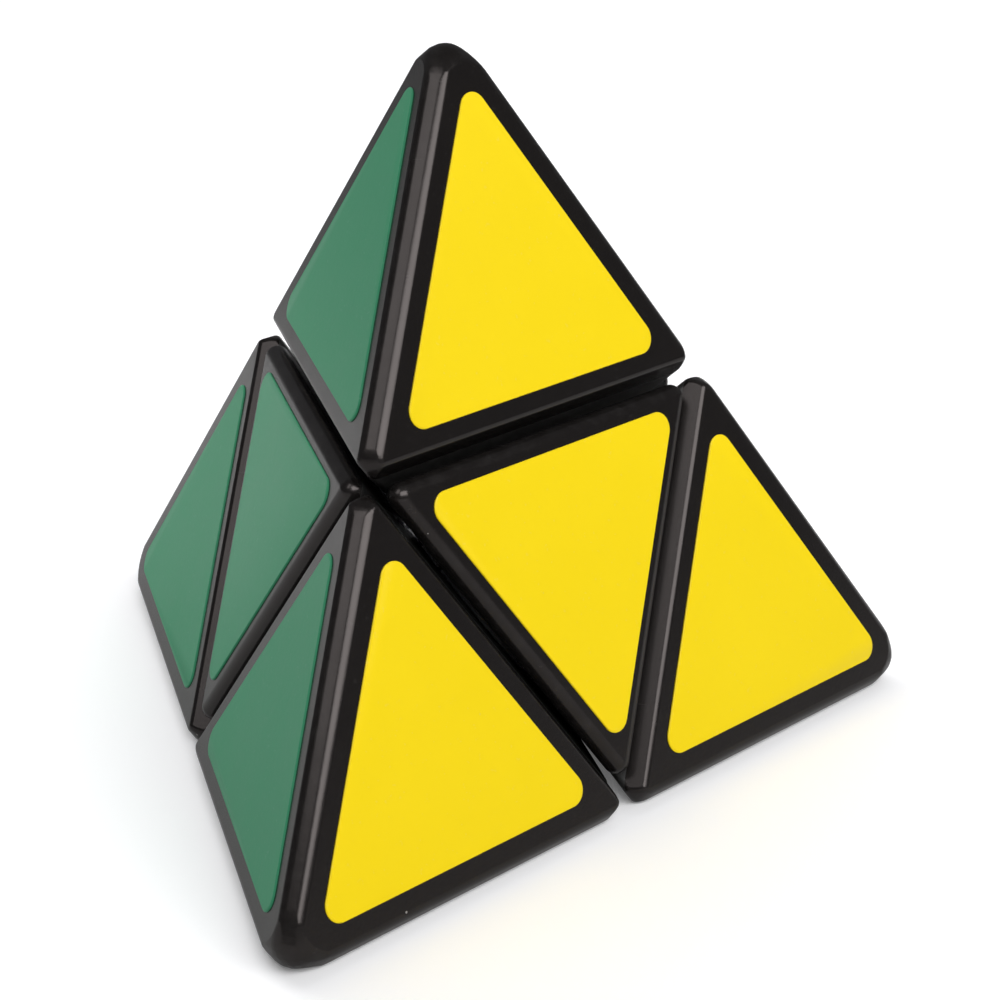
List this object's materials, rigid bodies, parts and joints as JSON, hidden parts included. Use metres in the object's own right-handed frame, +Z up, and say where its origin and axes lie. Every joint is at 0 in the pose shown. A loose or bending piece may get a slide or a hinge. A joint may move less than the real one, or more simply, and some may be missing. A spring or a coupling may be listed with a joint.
{
  "type": "pyramid twisty puzzle",
  "caption": "Hand-held tetrahedral twisty puzzle, black plastic with coloured triangular stickers; one half turns against the other on a hidden ball mechanism.",
  "frame": {"origin": "centre of the base face, on the underside of its middle sticker, which is the surface the pyramid rests on", "axes": "+Z up through the top corner; -Y towards the front corner of the base; the right and left corners of the base lie to +X and -X"},
  "size_m": [0.0746, 0.0652, 0.0615],
  "materials": {
    "shell_plastic": "semi-gloss moulded black ABS with rubbed edges and fine scratches",
    "inner_plastic": "plain moulded black ABS, slightly polished where the slices rub",
    "mechanism_plastic": "dark grey moulded plastic",
    "sticker_yellow": "satin yellow vinyl",
    "sticker_green": "satin green vinyl",
    "sticker_red": "satin red vinyl",
    "sticker_blue": "satin blue vinyl",
    "steel": "zinc-plated steel"
  },
  "bodies": {
    "held_half": {"corner_shell_front": "shell_plastic", "corner_shell_left": "shell_plastic", "centre_plate_green": "shell_plastic", "centre_plate_blue": "shell_plastic", "corner_foot_front": "inner_plastic", "corner_foot_left": "inner_plastic", "centre_foot_green": "inner_plastic", "centre_foot_blue": "inner_plastic", "sticker_front_yellow": "sticker_yellow", "sticker_front_green": "sticker_green", "sticker_front_blue": "sticker_blue", "sticker_left_green": "sticker_green", "sticker_left_red": "sticker_red", "sticker_left_blue": "sticker_blue", "sticker_centre_green": "sticker_green", "sticker_centre_blue": "sticker_blue", "core": "mechanism_plastic", "anchor_pin": "steel", "tension_screws": "steel", "tension_springs": "steel", "spring_washers": "steel", "cap_top_left": "mechanism_plastic", "cap_top_front": "mechanism_plastic", "cap_front_left": "mechanism_plastic", "cap_front_right": "mechanism_plastic", "cap_left_right": "mechanism_plastic", "slider_top_green": "mechanism_plastic", "slider_front_yellow": "mechanism_plastic", "slider_front_green": "mechanism_plastic", "slider_front_blue": "mechanism_plastic", "slider_right_blue": "mechanism_plastic", "slider_left_green": "mechanism_plastic", "slider_left_red": "mechanism_plastic", "slider_left_blue": "mechanism_plastic"},
    "turning_half": {"corner_shell_top": "shell_plastic", "corner_shell_right": "shell_plastic", "centre_plate_yellow": "shell_plastic", "centre_plate_red": "shell_plastic", "corner_foot_top": "inner_plastic", "corner_foot_right": "inner_plastic", "centre_foot_yellow": "inner_plastic", "centre_foot_red": "inner_plastic", "sticker_top_yellow": "sticker_yellow", "sticker_top_green": "sticker_green", "sticker_top_red": "sticker_red", "sticker_right_yellow": "sticker_yellow", "sticker_right_red": "sticker_red", "sticker_right_blue": "sticker_blue", "sticker_centre_yellow": "sticker_yellow", "sticker_centre_red": "sticker_red", "cap_top_right": "mechanism_plastic", "slider_top_yellow": "mechanism_plastic", "slider_top_red": "mechanism_plastic", "slider_right_yellow": "mechanism_plastic", "slider_right_red": "mechanism_plastic"}
  },
  "joints": [
    {"name": "slice_turn", "type": "hinge", "parent": "held_half", "child": "turning_half", "pos_m": [0, 0, 0.01648], "axis": [0.7071, 0.4082, 0.5774], "continuous": true}
  ]
}
